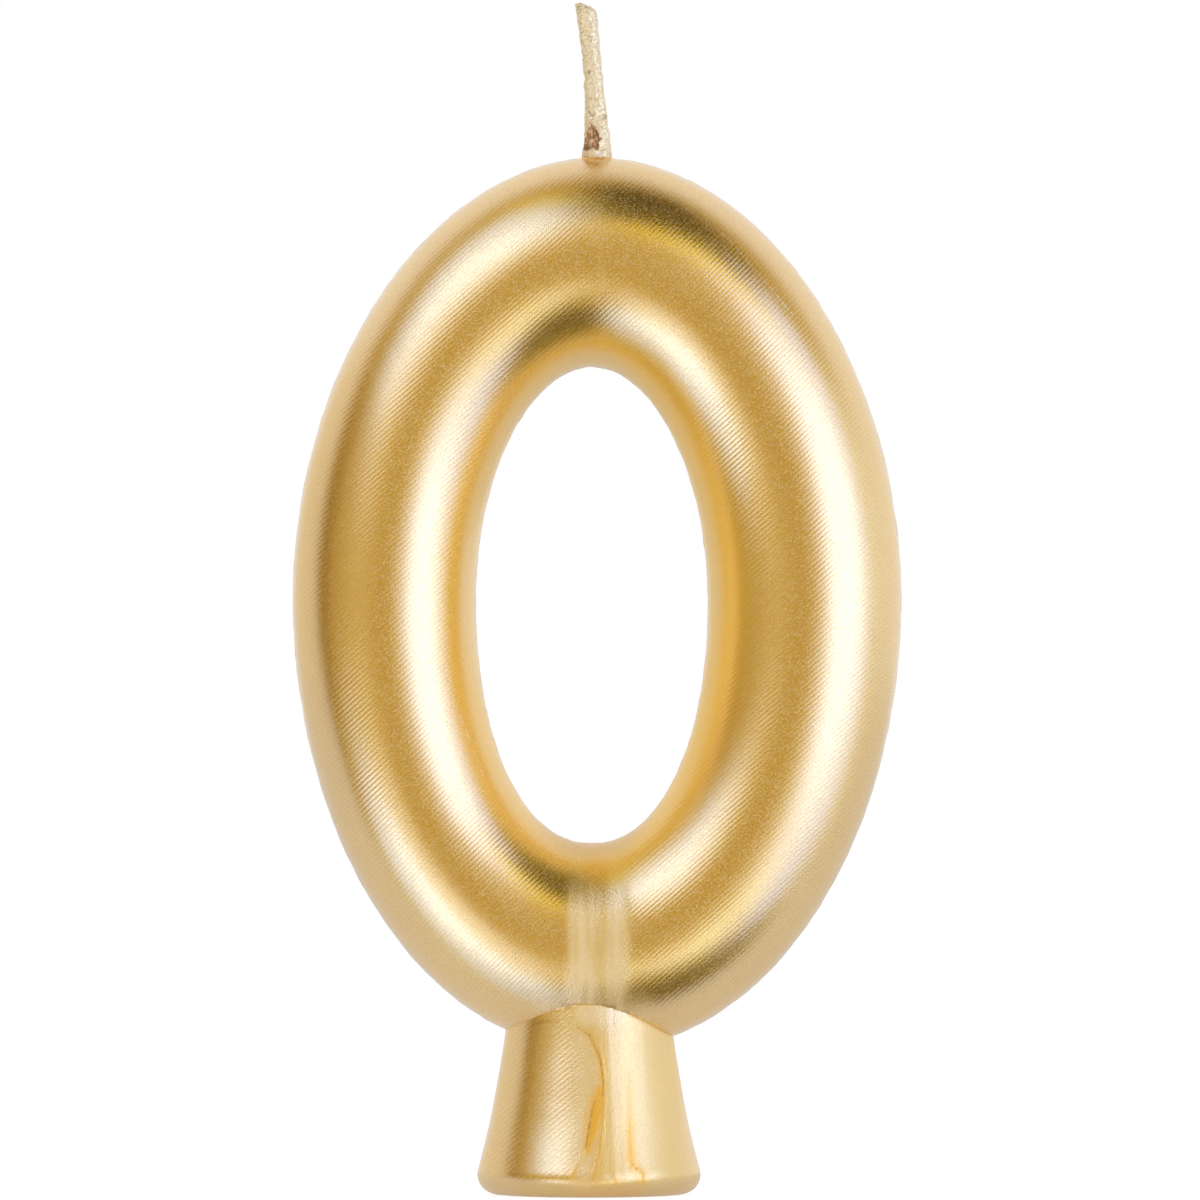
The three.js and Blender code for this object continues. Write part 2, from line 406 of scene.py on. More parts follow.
FOOT_SIDE_Z = 2.45
FOOT_SIDE_LEAN = -0.2547  # change of radius with height, there
FOOT_SIDE_HOLLOW = 0.00678
SKIN_THICKNESS = 0.5
SKIN_LIP = 0.5
WAX_INSET = 0.52
WAX_RING_STEPS = (128, 40)
WAX_FOOT_STEPS = 96
FOOT_INSIDE_TOP_Z = 17  # inside the ring, above the foot's own top
WAX_SINK = 0.25
SINK_ROWS = 10
SINK_POWER = 4  # the wax sank evenly, and stayed up only near its edge
PLUG_GAP = 0.03  # between the wax and the skin's lip
WICK_BORE = 0.8
LOWER_BORE_Z = (-1, 26)
UPPER_BORE_Z = (58, 76)
BORE_STEPS = 32
TORUS_RADIUS = 2
POLE_GAP = 1e-5  # points on the axis nearer than this are one
WAX_YELLOW = (0.8, 0.7, 0.47, 1)
WAX_PALE = (0.9, 0.82, 0.62, 1)
WAX_DEPTHS = (2.5, 1.8, 1)  # to which red, green and blue light goes in
PIT_HEIGHT = 0.02


def squared_curve(turn, half_width, rise, fall, squareness):
    """Point of an upright oval whose upper and lower halves may differ in height and fullness."""
    upper = math.sin(turn) >= 0
    power = 2 / squareness[0 if upper else 1]
    across = math.copysign(abs(math.cos(turn)) ** power, math.cos(turn))
    up = abs(math.sin(turn)) ** power
    return half_width * across, rise * up if upper else -fall * up


def ring_point(turn, share, inset):
    """Point of the ring's middle plane: share runs from the opening (0) to the outline (1)."""
    outer_x, outer_z = squared_curve(
        turn, RING_HALF_WIDTH - inset, RING_RISE - inset, RING_FALL - inset, RING_SQUARENESS
    )
    hole_x, hole_z = squared_curve(
        turn, HOLE_HALF_WIDTH + inset, HOLE_RISE + inset, HOLE_FALL + inset, HOLE_SQUARENESS
    )
    hole_x += HOLE_CENTRE_X
    return hole_x + (outer_x - hole_x) * share, RING_CENTRE_Z + hole_z + (outer_z - hole_z) * share


def ring_mesh(inset, ring_steps, section_steps, material):
    """A torus reshaped into the ring, with its surface moved in by inset."""
    bm = bmesh.new()
    start = Matrix.Translation((TORUS_RADIUS, 0, 0))
    bmesh.ops.create_circle(bm, segments=section_steps, radius=1, matrix=start)
    bmesh.ops.spin(
        bm,
        geom=bm.verts[:] + bm.edges[:],
        cent=(0, 0, 0),
        axis=(0, 1, 0),
        angle=2 * math.pi,
        steps=ring_steps,
        use_merge=True,
    )
    for vert in bm.verts:
        turn = math.atan2(vert.co.z, vert.co.x)
        turn -= LOWER_ARC_CROWDING * math.cos(turn)
        side = math.atan2(vert.co.y, math.hypot(vert.co.x, vert.co.z) - TORUS_RADIUS)
        side -= SIDE_CROWDING * math.sin(2 * side)
        x, z = ring_point(turn, (math.cos(side) + 1) / 2, inset)
        vert.co = (x, math.sin(side) * (RING_HALF_DEPTH - inset), z)
    bmesh.ops.recalc_face_normals(bm, faces=bm.faces)
    for face in bm.faces:
        face.material_index = material
    return bm


def turned_mesh(profile, steps, centre_x, material):
    """A profile of radius and height, from axis to axis, turned about an upright axis."""
    bm = bmesh.new()
    verts = [bm.verts.new((centre_x + radius, 0, z)) for radius, z in profile]
    for low, high in zip(verts, verts[1:]):
        bm.edges.new((low, high))
    bmesh.ops.spin(
        bm,
        geom=bm.verts[:] + bm.edges[:],
        cent=(centre_x, 0, 0),
        axis=(0, 0, 1),
        angle=2 * math.pi,
        steps=steps,
        use_merge=True,
    )
    bmesh.ops.remove_doubles(bm, verts=bm.verts, dist=POLE_GAP)
    bmesh.ops.recalc_face_normals(bm, faces=bm.faces)
    for face in bm.faces:
        face.material_index = material
    return bm


def wick_bore(radius, low_z, high_z, material):
    """The round rod that a hole for the wick takes away."""
    outline = [(0, low_z), (radius, low_z), (radius, high_z), (0, high_z)]
    return turned_mesh(outline, BORE_STEPS, 0, material)


def foot_side_radius(z):
    """Radius of the foot's slightly hollow side at height z."""
    above = z - FOOT_SIDE_Z
    return FOOT_SIDE_RADIUS + FOOT_SIDE_LEAN * above + FOOT_SIDE_HOLLOW * above**2


def foot_profile(inset, rows, edge_steps, top_z):
    """Half section of the foot, from the start of its rounded edge up to its middle at top_z."""
    radius = FOOT_EDGE_RADIUS - inset
    angles = [math.radians(-90 + FOOT_EDGE_TURN * i / edge_steps) for i in range(edge_steps + 1)]
    edge = [
        (FOOT_FLAT_RADIUS + radius * math.cos(a), FOOT_EDGE_RADIUS + radius * math.sin(a)) for a in angles
    ]
    low_z = edge[-1][1]
    heights = [low_z + (top_z - low_z) * i / rows for i in range(1, rows + 1)]
    return edge + [(foot_side_radius(z) - inset, z) for z in heights] + [(0, top_z)]


def boolean(target, others, materials):
    """A closed bmesh after each pair of operation and closed bmesh. All of them are used up."""
    temporary = []
    for index, bm in enumerate([target] + [other for _, other in others]):
        mesh = bpy.data.meshes.new(f"shape {index}")
        for material in materials:
            mesh.materials.append(material)
        bm.to_mesh(mesh)
        bm.free()
        temporary.append(placed(f"shape {index}", mesh))
    for (operation, _), other in zip(others, temporary[1:]):
        modifier = temporary[0].modifiers.new(operation, "BOOLEAN")
        modifier.solver = "MANIFOLD"
        modifier.operation = operation
        modifier.object = other
    result = bmesh.new()
    result.from_object(temporary[0], bpy.context.evaluated_depsgraph_get())
    for shape in temporary:
        mesh = shape.data
        bpy.data.objects.remove(shape)
        bpy.data.meshes.remove(mesh)
    return result


paraffin, tree, shader, place = new_material("pale paraffin")
cloud = grain(tree, place, scale=260, detail=4)
pits = grain(tree, place, scale=3200, detail=3)
wax_colour = mixed(tree, ranged(tree, cloud, 0.3, 0.7), WAX_YELLOW, WAX_PALE)
tree.links.new(wax_colour, shader.inputs["Base Color"])
tree.links.new(ranged(tree, cloud, 0.3, 0.7, 0.34, 0.5), shader.inputs["Roughness"])
tree.links.new(bumped(tree, pits, PIT_HEIGHT * MM), shader.inputs["Normal"])
translucent(shader, 0.5, WAX_DEPTHS)

plug_radius = FOOT_FLAT_RADIUS - SKIN_LIP - PLUG_GAP
sunk = [
    (plug_radius * i / SINK_ROWS, WAX_SINK * (1 - (i / SINK_ROWS) ** SINK_POWER))
    for i in range(SINK_ROWS + 1)
]
wax_foot_profile = sunk + [(plug_radius, WAX_INSET)]
wax_foot_profile += foot_profile(WAX_INSET, rows=10, edge_steps=5, top_z=FOOT_INSIDE_TOP_Z)
wax = boolean(
    ring_mesh(WAX_INSET, *WAX_RING_STEPS, 0),
    [
        ("UNION", turned_mesh(wax_foot_profile, WAX_FOOT_STEPS, FOOT_CENTRE_X, 0)),
        ("DIFFERENCE", wick_bore(WICK_BORE, *LOWER_BORE_Z, 0)),
        ("DIFFERENCE", wick_bore(WICK_BORE, *UPPER_BORE_Z, 0)),
    ],
    [paraffin],
)
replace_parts(finished(wax, "wax_casting", [paraffin]), "wax_body")

# Gold skin.
# The lacquered outer wax of the ring and the foot. Its faces keep the fine slanting ridges that a ball
# cutter left in the mould, its sides a parting line, and a rib runs down to the foot where the wick lay.
# On the foot the lacquer ran in a sheet and in drips.
SKIN_RING_STEPS = (400, 112)
FOOT_STEPS = 340
FOOT_ROWS = 92
FOOT_TOP_Z = 16.5
FOOT_FRONT_CROWDING = 0.65  # crowds the foot's steps where the drips are
FOOT_CROWD_TURN = -78  # degrees: the direction from the foot's axis in which they are
INSIDE_RING_STEPS = (96, 32)
INSIDE_FOOT_STEPS = 96
WICK_EXIT_RADIUS = 0.6
WICK_EXIT_Z = (73, 77)
COLLAR_STEPS = 64
COLLAR_CENTRE_X = -0.03  # round the wick's root
COLLAR_PROFILE = (
    (0, 74.4), (1.6, 74.4), (1.35, 74.8), (1.18, 74.94), (1.05, 75.02), (0.95, 75.05), (0.85, 75.06),
    (0, 75.06),
)
RIB_EDGES = (-1.65, 2)
RIB_SOFTNESS = 0.9
RIB_FADE_Z = (20.5, 23.8)
RIB_HEIGHT = 0.018
RIPPLE_HEIGHT = 0.008
RIPPLE_PITCH = 1.52
RIPPLE_CREST_X = -1.25
RIB_GOLD_LINES = ((0.06, 0.49), (2.2, 2.6))
TOP_SEAM_EDGES = (0.1, 0.4)
TOP_SEAM_Z = ((64, 66), (71, 73))
TOP_SEAM_HEIGHT = 0.004
# round this point the crown is painted a darker orange: painted shade below the wick's root
WICK_ROOT = (-0.2, 75)
GRAINY_X = (-3.6, 3.2)  # the lacquer is grainy just over the foot
GRAINY_Z = (15.2, 13.6)
HOLE_BOTTOM_X = (-0.7, 0.6)
HOLE_BOTTOM_Z = ((22, 23.2), (25, 23.8))
BACK_DULLNESS = 0.25
UNDER_RIB_X = (-1.1, 1.3)
UNDER_RIB_Z = (11, 13)
# painted shade along the middle of the foot's bottom rim, darker orange towards the floor
RIM_SHADE_X = (-1, 2)
# painted highlight: a paler spot on the left of the foot's bottom rim
RIM_HIGHLIGHT_X = (-5.2, -2.6)
MARKS_DULLED = 0.85  # share of the mould marks that the matte finish hides
SKIN_MIDDLE = 0.2  # deeper than the relief and less deep than the skin's inside
UNDERSIDE_Z = 0.05
CREASE_FRONT_Y = -0.4  # the crease between foot and ring, on the front
CREASE_Z = (11, 15)
PARTING_HEIGHT = 0.05
PARTING_HALF_WIDTH = 0.2
WAVINESS = 0.03  # slow unevenness of the faces
DRIP_HEIGHT = 0.016
SHEET_HEIGHT = 0.025
SHEET_LIP_HEIGHT = 0.01
SHEET_RIPPLE_HEIGHT = 0.007
SHEET_RIGHT_X = (5.2, 6.8)  # where the sheet thins out
SHEET_EDGE = (
    (0.9, -0.5), (1.29, -0.38), (3.53, 0.16), (6.0, 0.42), (7.3, 0.46), (8.46, 0.42), (9.86, 0.25),
    (10.8, -0.05), (11.64, -0.54), (12.3, -1.6),
)
# Runs of pooled lacquer, and stains with one painted shadow under the crease's lip, as points of x, z and
# half width.
RUNS = (
    (
        (0.2, 7.8, 0.16), (0.06, 6.9, 0.38), (-0.08, 6.0, 0.5), (-0.32, 5.0, 0.42), (-0.6, 3.9, 0.24),
        (-0.76, 3.2, 0.06),
    ),
    ((2.3, 8.9, 0.02), (2.33, 6.0, 0.05), (2.38, 4.0, 0.1), (2.43, 2.95, 0.16), (2.6, 2.2, 0.12)),
    ((2.6, 2.2, 0.1), (2.95, 2.05, 0.07), (3.3, 1.7, 0.08), (3.27, 1.25, 0.08), (2.75, 1.3, 0.05)),
    ((-1.2, 2.9, 0.01), (-1.5, 2.4, 0.05), (-1.8, 1.8, 0.06), (-2.0, 1.2, 0.03)),
    ((1.2, 1.8, 0.01), (1.5, 1.2, 0.06), (1.6, 0.7, 0.03)),
    (
        (-1.55, 12.3, 0.01), (-0.54, 11.64, 0.04), (0.25, 9.86, 0.06), (0.42, 8.46, 0.07),
        (0.42, 6.0, 0.05), (0.16, 3.53, 0.05), (-0.38, 1.29, 0.04),
    ),
)
STAIN_AND_SHADOW_LINES = (
    ((-0.2, 6.95, 0.02), (-0.42, 6.0, 0.06), (-0.62, 4.8, 0.08), (-0.84, 3.6, 0.06)),
    # painted shadow under the lip of the crease, on the left
    ((-4.9, 12.3, 0.03), (-3.9, 12.6, 0.12), (-2.7, 12.75, 0.03)),
    ((-1.55, 12.3, 0.01), (-0.54, 11.64, 0.03), (0.25, 9.86, 0.04), (0.42, 8.46, 0.03), (0.4, 7.3, 0.01)),
    ((2.75, 2.1, 0.01), (3.05, 1.95, 0.02), (3.32, 1.65, 0.03), (3.27, 1.2, 0.02)),
)


def beside(run, x, z):
    """Distance from a run to a place, and the run's half width where it is nearest."""
    nearest, width = math.inf, 0
    for (x0, z0, w0), (x1, z1, w1) in zip(run, run[1:]):
        along = ((x - x0) * (x1 - x0) + (z - z0) * (z1 - z0)) / ((x1 - x0) ** 2 + (z1 - z0) ** 2)
        along = min(max(along, 0), 1)
        distance = math.hypot(x - x0 - (x1 - x0) * along, z - z0 - (z1 - z0) * along)
        if distance < nearest:
            nearest, width = distance, w0 + (w1 - w0) * along
    return nearest, width


def band(edges, softness, value):
    """1 between two edges, falling to 0 over the softness outside them."""
    low, high = edges
    return blend(low - softness, low, value) * (1 - blend(high, high + softness, value))


def ring_relief(place):
    """Height of the ring's surface over the plain shape, and its shares of the lacquer's finishes and of
    painted shade.
    """
    x, y, z = place
    rib = band(RIB_EDGES, RIB_SOFTNESS, x) * (1 - blend(*RIB_FADE_Z, z))
    ripple = math.cos(2 * math.pi * (x - RIPPLE_CREST_X) / RIPPLE_PITCH)
    height = rib * (RIB_HEIGHT + RIPPLE_HEIGHT * ripple)
    seam_start, seam_end = TOP_SEAM_Z
    seam = band(TOP_SEAM_EDGES, 0.35, x) * blend(*seam_start, z) * (1 - blend(*seam_end, z))
    height += TOP_SEAM_HEIGHT * seam
    flash = 0.7 + 0.6 * noise.noise(place * 0.9) + 0.35 * noise.noise(place * 4)
    height += PARTING_HEIGHT * flash * blend(PARTING_HALF_WIDTH, 0, abs(y))
    height += WAVINESS * noise.noise(place * 0.16)
    grainy = blend(*GRAINY_Z, z) * band(GRAINY_X, 1.6, x)
    golden = max(band(edges, 0.55, x) for edges in RIB_GOLD_LINES)
    streaks = 0.85 + 0.3 * noise.noise(Vector((x * 2.2, 0, z * 0.25)))
    matte = max(rib * (1 - 0.4 * golden) * streaks, 0.12 * seam, 0.6 * grainy)
    # painted shade: a darker orange patch on the crown below the wick's root
    root = blend(1.5, 0.5, math.hypot(x - WICK_ROOT[0], (z - WICK_ROOT[1]) * 2.2))
    bottom_start, bottom_end = HOLE_BOTTOM_Z
    hole_bottom = band(HOLE_BOTTOM_X, 0.5, x) * blend(*bottom_start, z) * blend(*bottom_end, z)
    return height, {"matte": matte, "pooled_and_painted_shade": max(0.6 * root, 0.45 * hole_bottom)}


def foot_relief(place):
    """Height of the foot's surface over the plain shape, its shares of the lacquer's finishes, and of
    painted shade and a painted highlight on its rim.
    """
    x, y, z = place
    height = WAVINESS * noise.noise(place * 0.3)
    if y > 0:
        return height, {"matte": BACK_DULLNESS}
    beyond = x - between(SHEET_EDGE, z)
    sheet = blend(-0.1, 0.2, beyond) * (1 - blend(*SHEET_RIGHT_X, x))
    sheet *= blend(-1.8, 0.2, x) * blend(0.7, 1.8, z)
    sheet_lip = blend(0.22, 0, abs(beyond - 0.12)) * blend(0.9, 2, z)
    height += SHEET_HEIGHT * sheet + SHEET_LIP_HEIGHT * sheet_lip
    ridge = math.sin(5.1 * x + 0.35 * z) * math.sin(2.3 * x - 0.5)
    height += SHEET_RIPPLE_HEIGHT * sheet * ridge * band((0.6, 3.4), 0.6, x)
    pooled_and_painted_shade = 0
    for run in RUNS:
        distance, width = beside(run, x, z)
        strength = min(1, width / 0.08)
        core = blend(width + 0.1, width * 0.5, distance)
        glow = 0.6 * blend(width + 0.55, width, distance)
        pooled_and_painted_shade = max(pooled_and_painted_shade, strength * max(core, glow))
        height += DRIP_HEIGHT * blend(width + 0.15, 0, distance)
    stained_and_shaded = 0
    bubbly = min(max(0.6 + 0.9 * noise.noise(place * 6), 0.2), 1)
    for run in STAIN_AND_SHADOW_LINES:
        distance, width = beside(run, x, z)
        stained_and_shaded = max(stained_and_shaded, 0.8 * blend(width + 0.09, width * 0.2, distance) * bubbly)
    under_rib = band(UNDER_RIB_X, 1, x) * blend(*UNDER_RIB_Z, z)
    dull = 0.12 + 0.6 * band((-1, 0.2), 1.6, x) * blend(0.2, -0.1, beyond)
    matte = max(dull * (1 - 0.6 * sheet), 0.9 * under_rib)
    # painted shade: the bottom rim is coloured darker orange towards the floor
    painted_rim_shade = 0.4 * band(RIM_SHADE_X, 2.2, x) * blend(1.6, 0.6, z)
    # painted highlight: a paler spot on the bottom rim's left, given the sheet's finish
    painted_rim_highlight = 0.7 * band(RIM_HIGHLIGHT_X, 0.8, x) * blend(1.2, 0.9, z)
    return height, {
        # the sheet's share also carries the painted highlight on the rim
        "sheet": max(sheet * (1 - under_rib), painted_rim_highlight),
        "matte": matte,
        "pooled_and_painted_shade": max(pooled_and_painted_shade, painted_rim_shade),
        "stained_and_shaded": stained_and_shaded,
    }


def on_foot_outside(place):
    """Whether a place on the foot's skin is on its outside, above the flat underside."""
    radius = math.hypot(place.x - FOOT_CENTRE_X, place.y)
    outside = place.z < FOOT_EDGE_RADIUS or radius > foot_side_radius(place.z) - SKIN_MIDDLE
    return outside and place.z > UNDERSIDE_Z


def inner_wall_shares(vert):
    """Shares of the opening's painted reflection, a brighter orange on its inner wall, and of painted shade
    along the middle of its upper and lower wall.
    """
    inward = Vector((HOLE_CENTRE_X - vert.co.x, 0, RING_CENTRE_Z - vert.co.z)).normalized()
    facing = vert.normal.dot(inward)
    edge = blend(0.76, 0.97, facing)
    upright = blend(0.5, 0.95, abs(inward.z))
    # painted reflection: the inner wall is coloured a brighter orange, more on the right wall than on the
    # left
    painted_inner_reflection = blend(0.45, 0.75, facing) * (1 - 0.6 * edge) * (1 - 0.35 * blend(-0.4, 0.4, inward.x))
    # painted shade along the middle of the opening's upper and lower wall
    return painted_inner_reflection, 0.45 * edge * upright * blend(-1.6, 1.2, inward.z)


def new_group(name, takes, gives):
    """An empty node group and the nodes for its inputs and outputs, whose names come with their kinds."""
    group = bpy.data.node_groups.new(name, "ShaderNodeTree")
    for way, sockets in (("INPUT", takes), ("OUTPUT", gives)):
        for socket, kind in sockets.items():
            group.interface.new_socket(socket, in_out=way, socket_type=f"NodeSocket{kind}")
    return group, group.nodes.new("NodeGroupInput"), group.nodes.new("NodeGroupOutput")


def scratch_group():
    """Node group: a fine line on the front, between two points of the middle plane."""
    takes = {"Place": "Vector", "From": "Vector", "To": "Vector", "Half width": "Float"}
    group, given, result = new_group("fine scratch", takes, {"Mask": "Float"})
    place, start, end, half_width = given.outputs[:4]
    flat = add(group, "VectorMath", {0: place, 1: (1, 0, 1)}, operation="MULTIPLY").outputs[0]
    line = add(group, "VectorMath", {0: end, 1: start}, operation="SUBTRACT").outputs[0]
    away = add(group, "VectorMath", {0: flat, 1: start}, operation="SUBTRACT").outputs[0]
    dots = [
        add(group, "VectorMath", {0: first, 1: line}, operation="DOT_PRODUCT").outputs["Value"]
        for first in (away, line)
    ]
    share = add(group, "Math", {0: dots[0], 1: dots[1]}, operation="DIVIDE", use_clamp=True).outputs[0]
    nearest = add(group, "VectorMath", {0: line, "Scale": share}, operation="SCALE").outputs[0]
    gap = add(group, "VectorMath", {0: away, 1: nearest}, operation="DISTANCE").outputs["Value"]
    mark = ranged(group, maths(group, "DIVIDE", gap, half_width), 0.4, 1, 1, 0)
    front = ranged(group, add(group, "SeparateXYZ", {0: place}).outputs[1], 0, 0.5 * MM, 1, 0)
    group.links.new(maths(group, "MULTIPLY", mark, front), result.inputs[0])
    return group


def mould_marks_group():
    """Node group: the ridges that the mould's cutter left, as a height. They bend slightly with height."""
    takes = dict.fromkeys(("Across", "Up", "Bend", "Pitch", "Middle height"), "Float")
    takes["Place"] = "Vector"
    group, given, result = new_group("mould marks", takes, {"Height": "Float"})
    across, up, bend, pitch, middle, place = given.outputs[:6]
    split = add(group, "SeparateXYZ", {0: place})
    x = split.outputs[0]
    z = maths(group, "SUBTRACT", split.outputs[2], middle)
    level = maths(group, "ADD", maths(group, "MULTIPLY", x, across), maths(group, "MULTIPLY", z, up))
    curve = maths(group, "MULTIPLY", maths(group, "MULTIPLY", x, bend), maths(group, "MULTIPLY", z, z))
    phase = maths(group, "DIVIDE", maths(group, "ADD", level, curve), pitch)
    ridge = maths(group, "ABSOLUTE", maths(group, "SINE", maths(group, "MULTIPLY", phase, math.pi)))
    group.links.new(ridge, result.inputs[0])
    return group


def lacquer_flakes_group():
    """Node group: the grain of metal flakes in lacquer, as a height and as the few that catch the light."""
    takes = {"Place": "Vector", "Scale": "Float"}
    group, given, result = new_group("lacquer flakes", takes, {"Height": "Float", "Sparkle": "Float"})
    place, scale = given.outputs[:2]
    fine = add(group, "TexNoise", {"Vector": place, "Scale": scale, "Detail": 2})
    cells = add(group, "TexVoronoi", {"Vector": place, "Scale": scale})
    pick = add(group, "SeparateColor", {0: cells.outputs["Color"]}).outputs[0]
    group.links.new(fine.outputs["Fac"], result.inputs[0])
    group.links.new(ranged(group, pick, 0.72, 0.97), result.inputs[1])
    return group


def group_node(tree, group, inputs):
    """A node group placed in a tree, with its inputs."""
    new = tree.nodes.new("ShaderNodeGroup")
    new.node_tree = group
    return feed(tree, new, inputs)


marks_group, flakes_group, scratch = mould_marks_group(), lacquer_flakes_group(), scratch_group()
RING_MARKS = {
    "Across": -0.643,
    "Up": 0.766,
    "Bend": -0.12 / (32.3 * MM) ** 2,
    "Pitch": 0.29 * MM,
    "Middle height": RING_CENTRE_Z * MM,
}
FOOT_MARKS = {"Across": -0.616, "Up": 0.788, "Bend": 0, "Pitch": 0.305 * MM, "Middle height": 0}
SCRATCHES = (
    ((4.9, 72.2), (9.2, 69.3), 0.06),
    ((9.2, 69.3), (14.1, 63.6), 0.07),
    ((-9.85, 34.65), (-8.1, 30), 0.05),
    ((13.15, 39.4), (14.6, 37.6), 0.04),
    ((14.8, 34.6), (17.1, 32.9), 0.04),
)
GOLD = (0.96, 0.6, 0.08, 1)
DARK_GOLD = (0.82, 0.48, 0.05, 1)
# Colours of the lacquer's finishes, of the painted reflection inside the opening and of painted shade by
# the wick's root and on the foot's rim.
FINISHES_AND_PAINTED_LIGHT = {
    "painted_inner_reflection": (1, 0.62, 0.07, 1),
    "matte": (1, 0.76, 0.37, 1),
    "sheet": (0.94, 0.65, 0.2, 1),
    "pooled_and_painted_shade": (1, 0.53, 0.05, 1),
}
# colour of the real stains on the foot, and of painted shade inside the opening and under the crease's lip
STAIN_AND_SHADE = (0.52, 0.26, 0.05, 1)
SCRATCH_WHITE = (1, 0.93, 0.78, 1)
GOLD_MASKS = ("matte", "sheet", "pooled_and_painted_shade", "stained_and_shaded", "painted_inner_reflection", "marked")
COAT_LOSSES = {"matte": 0.6, "pooled_and_painted_shade": 0.6, "sheet": 0.55, "painted_inner_reflection": 0.6, "stained_and_shaded": 1}
METAL_LOSSES = {"matte": 0.3, "painted_inner_reflection": 0.55, "sheet": 0.15}
ROUGHNESS_GAINS = {"matte": 0.2, "sheet": 0.12}
SMOOTH_ROUGHNESS = 0.36
RIDGE_HEIGHT = 0.0075
SAND_HEIGHT = 0.03
FLAKE_HEIGHT = 0.009
COAT_IOR = 3.2
COAT_ROUGHNESS = 0.18


def gold_lacquer(name, marks):
    """The gold of the ring or the foot, which differ in the slant of their mould marks."""
    material, tree, shader, place = new_material(name)
    masks = mask_outputs(tree, GOLD_MASKS)
    ridges = group_node(tree, marks_group, {"Place": place, **marks}).outputs[0]
    patchy = ranged(tree, grain(tree, place, scale=220), 0.35, 0.65, 0.55, 1)
    crisp = maths(tree, "MULTIPLY", masks["marked"], patchy)
    ridge_height = maths(tree, "MULTIPLY", ridges, crisp)
    flakes = group_node(tree, flakes_group, {"Place": place, "Scale": 12000})
    sand = grain(tree, place, scale=6500, detail=3)
    sandy = maths(tree, "MULTIPLY_ADD", masks["matte"], 1.3, 0.06)
    sandy = maths(tree, "MULTIPLY_ADD", masks["sheet"], 0.5, sandy)
    sand_height = maths(tree, "MULTIPLY", sand, sandy)
    sparkle_height = maths(tree, "MULTIPLY_ADD", flakes.outputs["Sparkle"], 0.5, flakes.outputs["Height"])
    normal = bumped(tree, ridge_height, RIDGE_HEIGHT * MM)
    normal = bumped(tree, sand_height, SAND_HEIGHT * MM, normal)
    normal = bumped(tree, sparkle_height, FLAKE_HEIGHT * MM, normal)
    valley = maths(tree, "MULTIPLY", maths(tree, "MULTIPLY_ADD", ridges, -0.8, 0.8), crisp)
    mottle = ranged(tree, flakes.outputs["Height"], 0.35, 0.65, -0.2, 0.9)
    colour = mixed(tree, maths(tree, "ADD", valley, mottle), GOLD, DARK_GOLD)
    for key, finish in FINISHES_AND_PAINTED_LIGHT.items():
        colour = mixed(tree, masks[key], colour, finish)
    broken = ranged(tree, grain(tree, place, scale=4500), 0.46, 0.6)
    for start, end, half_width in SCRATCHES:
        inputs = {
            "Place": place,
            "From": (start[0] * MM, 0, start[1] * MM),
            "To": (end[0] * MM, 0, end[1] * MM),
            "Half width": half_width * MM,
        }
        mask = maths(tree, "MULTIPLY", group_node(tree, scratch, inputs).outputs[0], broken)
        colour = mixed(tree, mask, colour, SCRATCH_WHITE)
    colour = mixed(tree, masks["stained_and_shaded"], colour, STAIN_AND_SHADE)
    tree.links.new(colour, shader.inputs["Base Color"])
    roughness = SMOOTH_ROUGHNESS
    for key, gain in ROUGHNESS_GAINS.items():
        roughness = maths(tree, "MULTIPLY_ADD", masks[key], gain, roughness)
    tree.links.new(roughness, shader.inputs["Roughness"])
    coat = 1
    for key, loss in COAT_LOSSES.items():
        coat = maths(tree, "MULTIPLY", coat, maths(tree, "MULTIPLY_ADD", masks[key], -loss, 1))
    tree.links.new(coat, shader.inputs["Coat Weight"])
    metal = 1
    for key, loss in METAL_LOSSES.items():
        metal = maths(tree, "MULTIPLY_ADD", masks[key], -loss, metal)
    tree.links.new(metal, shader.inputs["Metallic"])
    tree.links.new(normal, shader.inputs["Normal"])
    tree.links.new(normal, shader.inputs["Coat Normal"])
    shader.inputs["Coat IOR"].default_value = COAT_IOR
    shader.inputs["Coat Roughness"].default_value = COAT_ROUGHNESS
    return material


gold_slots = [gold_lacquer("gold on ring", RING_MARKS), gold_lacquer("gold on foot", FOOT_MARKS)]
ON_RING, ON_FOOT = range(2)

foot_outline = [(0, 0)] + foot_profile(0, rows=FOOT_ROWS, edge_steps=12, top_z=FOOT_TOP_Z)
foot = turned_mesh(foot_outline, FOOT_STEPS, FOOT_CENTRE_X, ON_FOOT)
crowd_turn = math.radians(FOOT_CROWD_TURN)
for vert in foot.verts:
    x, y = vert.co.x - FOOT_CENTRE_X, vert.co.y
    radius = math.hypot(x, y)
    turn = math.atan2(y, x)
    turn -= FOOT_FRONT_CROWDING * math.sin(turn - crowd_turn)
    vert.co.x = FOOT_CENTRE_X + radius * math.cos(turn)
    vert.co.y = radius * math.sin(turn)
lip_radius = FOOT_FLAT_RADIUS - SKIN_LIP
inside_outline = [(0, -1), (lip_radius, -1), (lip_radius, SKIN_THICKNESS)]
inside_outline += foot_profile(SKIN_THICKNESS, rows=8, edge_steps=4, top_z=FOOT_INSIDE_TOP_Z)
